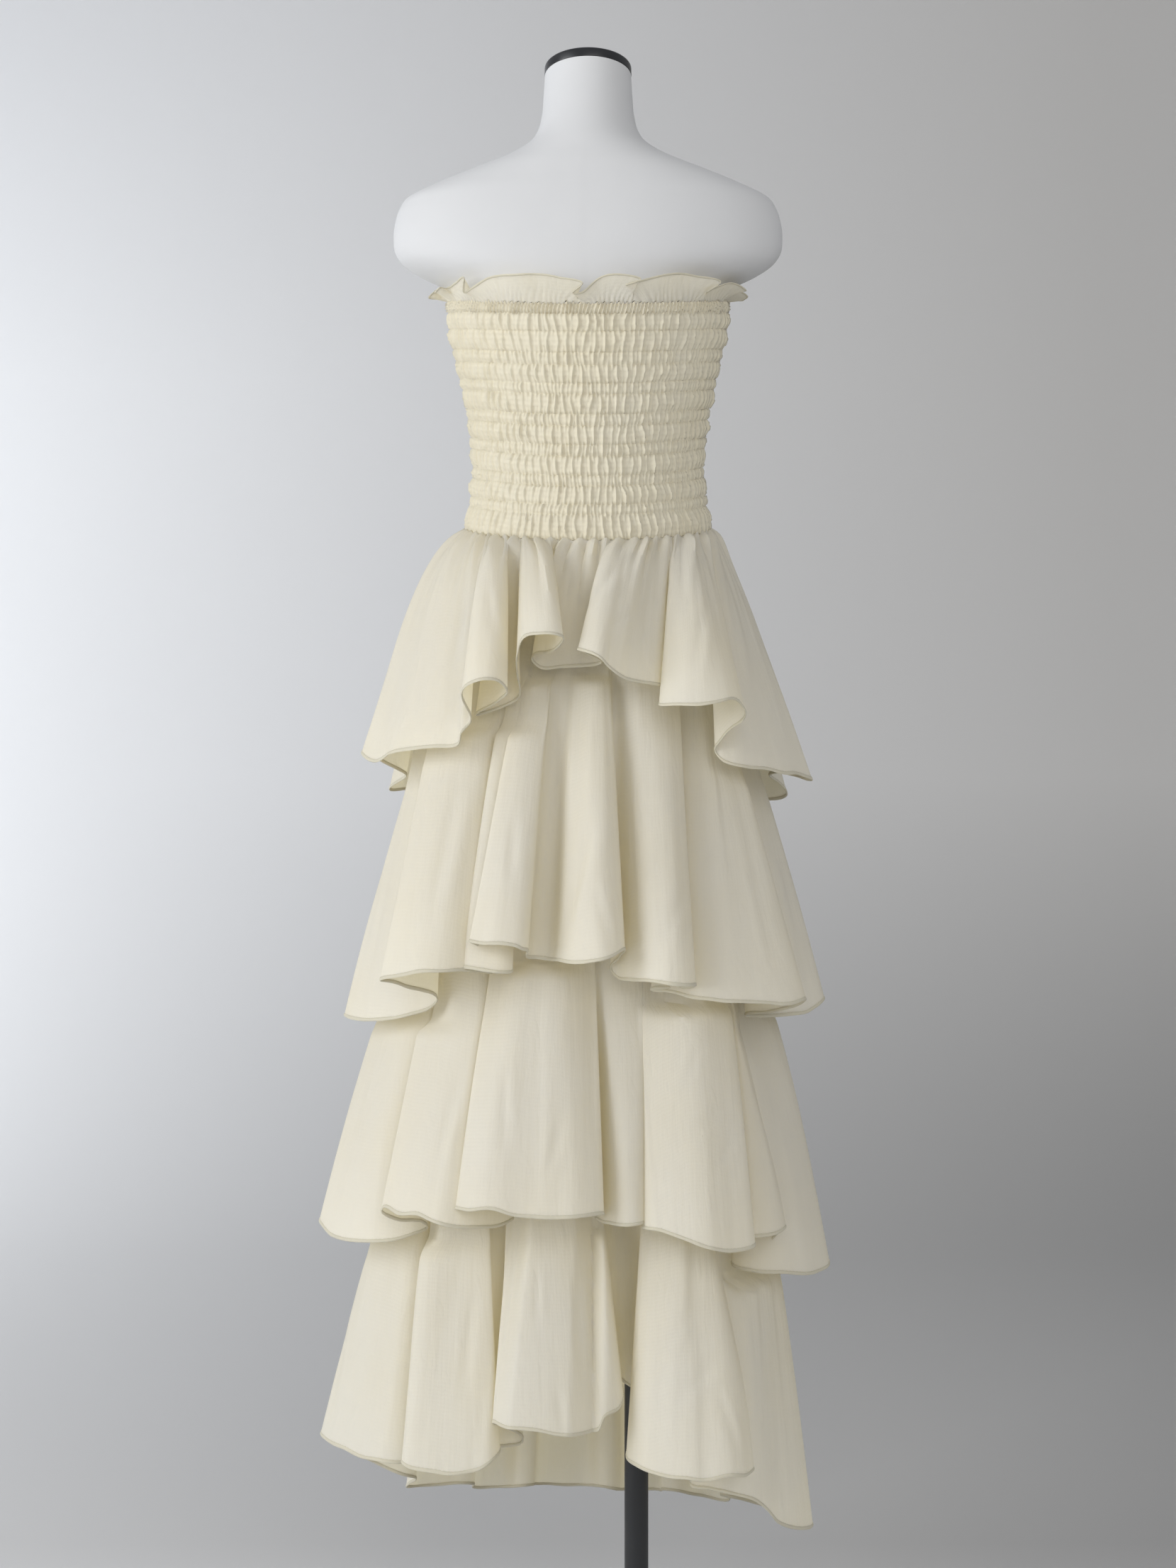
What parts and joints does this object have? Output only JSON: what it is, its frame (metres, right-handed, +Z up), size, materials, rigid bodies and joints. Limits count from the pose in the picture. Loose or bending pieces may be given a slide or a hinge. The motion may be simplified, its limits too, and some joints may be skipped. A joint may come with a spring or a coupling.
{
  "type": "tiered dress on a dress form",
  "caption": "Strapless cream voile dress with a shirred bodice and gathered tiers, on a limbless white dress form with a black pole and round base.",
  "frame": {"origin": "centre of the round base plate's underside, under the pole", "axes": "+Z up along the pole, -Y the way the dress's back faces, +X to the right when looking at its back"},
  "size_m": [0.5185, 0.4398, 1.7311],
  "materials": {
    "cream_voile": "matte",
    "shirred_voile": "matte",
    "white_jersey": "matte",
    "black_cap": "satin",
    "black_steel": "satin"
  },
  "bodies": {
    "root": {"form_torso": "white_jersey", "form_neck_cap": "black_cap", "stand_pole": "black_steel", "stand_base": "black_steel", "frill_back": "cream_voile", "frill_front": "cream_voile", "casing_back": "shirred_voile", "casing_front": "shirred_voile", "bodice_back": "shirred_voile", "bodice_front": "shirred_voile", "underskirt_back": "cream_voile", "underskirt_front": "cream_voile", "tier_1_back": "cream_voile", "tier_1_front": "cream_voile", "tier_2_back": "cream_voile", "tier_2_front": "cream_voile", "tier_3_back": "cream_voile", "tier_3_front": "cream_voile", "tier_4_back": "cream_voile", "tier_4_front": "cream_voile"}
  },
  "joints": []
}
